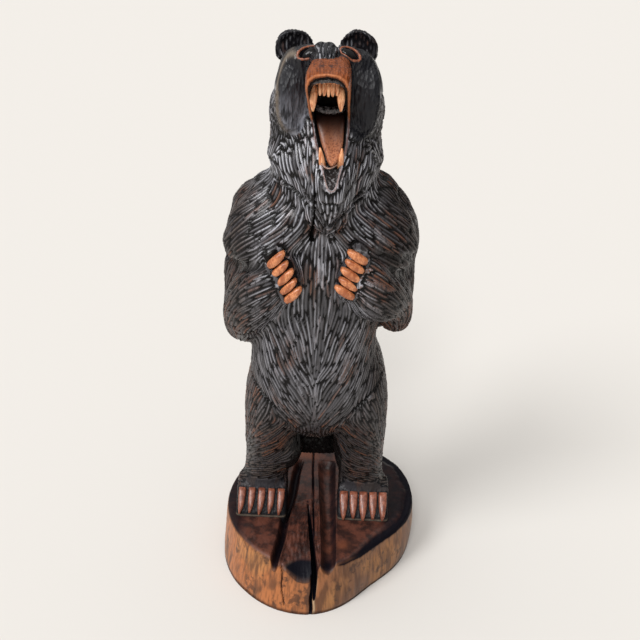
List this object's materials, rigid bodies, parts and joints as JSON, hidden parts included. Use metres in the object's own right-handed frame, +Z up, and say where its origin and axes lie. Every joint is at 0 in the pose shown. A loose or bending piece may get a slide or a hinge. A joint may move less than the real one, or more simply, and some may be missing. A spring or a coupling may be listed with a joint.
{
  "type": "chainsaw carved bear statue",
  "caption": "Standing roaring bear carved from one log, with raised paws, bared teeth and tongue, on a grooved log base left from the same trunk.",
  "frame": {"origin": "on the floor, at the middle of the log base's footprint", "axes": "+Z up, from the floor to the ears; the bear faces -Y; +X is the right of the front view"},
  "size_m": [0.4488, 0.4774, 1.1982],
  "materials": {
    "stained_wood": "burnt and stained near black, oiled to a low sheen, with red-brown wood showing on ridges",
    "claw_wood": "bare wood stained orange and sealed to a soft gloss, for muzzle, tongue, teeth and claws",
    "log_wood": "debarked log side, orange-brown with dark grain streaks, satin"
  },
  "bodies": {
    "root": {"carved_bear": "stained_wood"}
  },
  "joints": []
}
